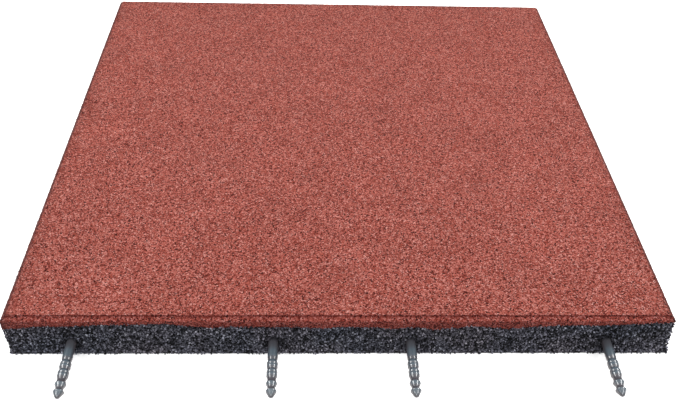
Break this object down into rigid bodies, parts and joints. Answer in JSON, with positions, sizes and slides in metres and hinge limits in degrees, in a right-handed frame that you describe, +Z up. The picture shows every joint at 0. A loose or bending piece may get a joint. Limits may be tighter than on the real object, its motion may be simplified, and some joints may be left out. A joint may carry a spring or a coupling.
{
  "type": "rubber safety tile",
  "caption": "Square layered rubber granulate floor tile with a bevelled wear face and ribbed dowels standing out of one edge, for laying soft, shock-absorbing paving.",
  "frame": {"origin": "middle of the tile's underside; the dowels stand out past the tile's front edge, so it isn't the middle of the bounding box", "axes": "+Z up out of the wear face, +Y from the dowelled edge toward the edge with the open holes, +X to the right seen from the dowelled edge"},
  "size_m": [0.5, 0.549, 0.04],
  "materials": {
    "red_rubber": "matt, fine-grained surface of pressed dyed rubber crumb, grains about 1 to 3 mm",
    "black_rubber": "coarse black rubber granulate bonded with clear binder, a faint glint on the grains",
    "grey_plastic": "smooth moulded blue-grey plastic with a soft gloss"
  },
  "bodies": {
    "root": {"wear_layer": "red_rubber", "base_layer": "black_rubber", "dowel_outer_left": "grey_plastic", "dowel_inner_left": "grey_plastic", "dowel_inner_right": "grey_plastic", "dowel_outer_right": "grey_plastic"}
  },
  "joints": []
}
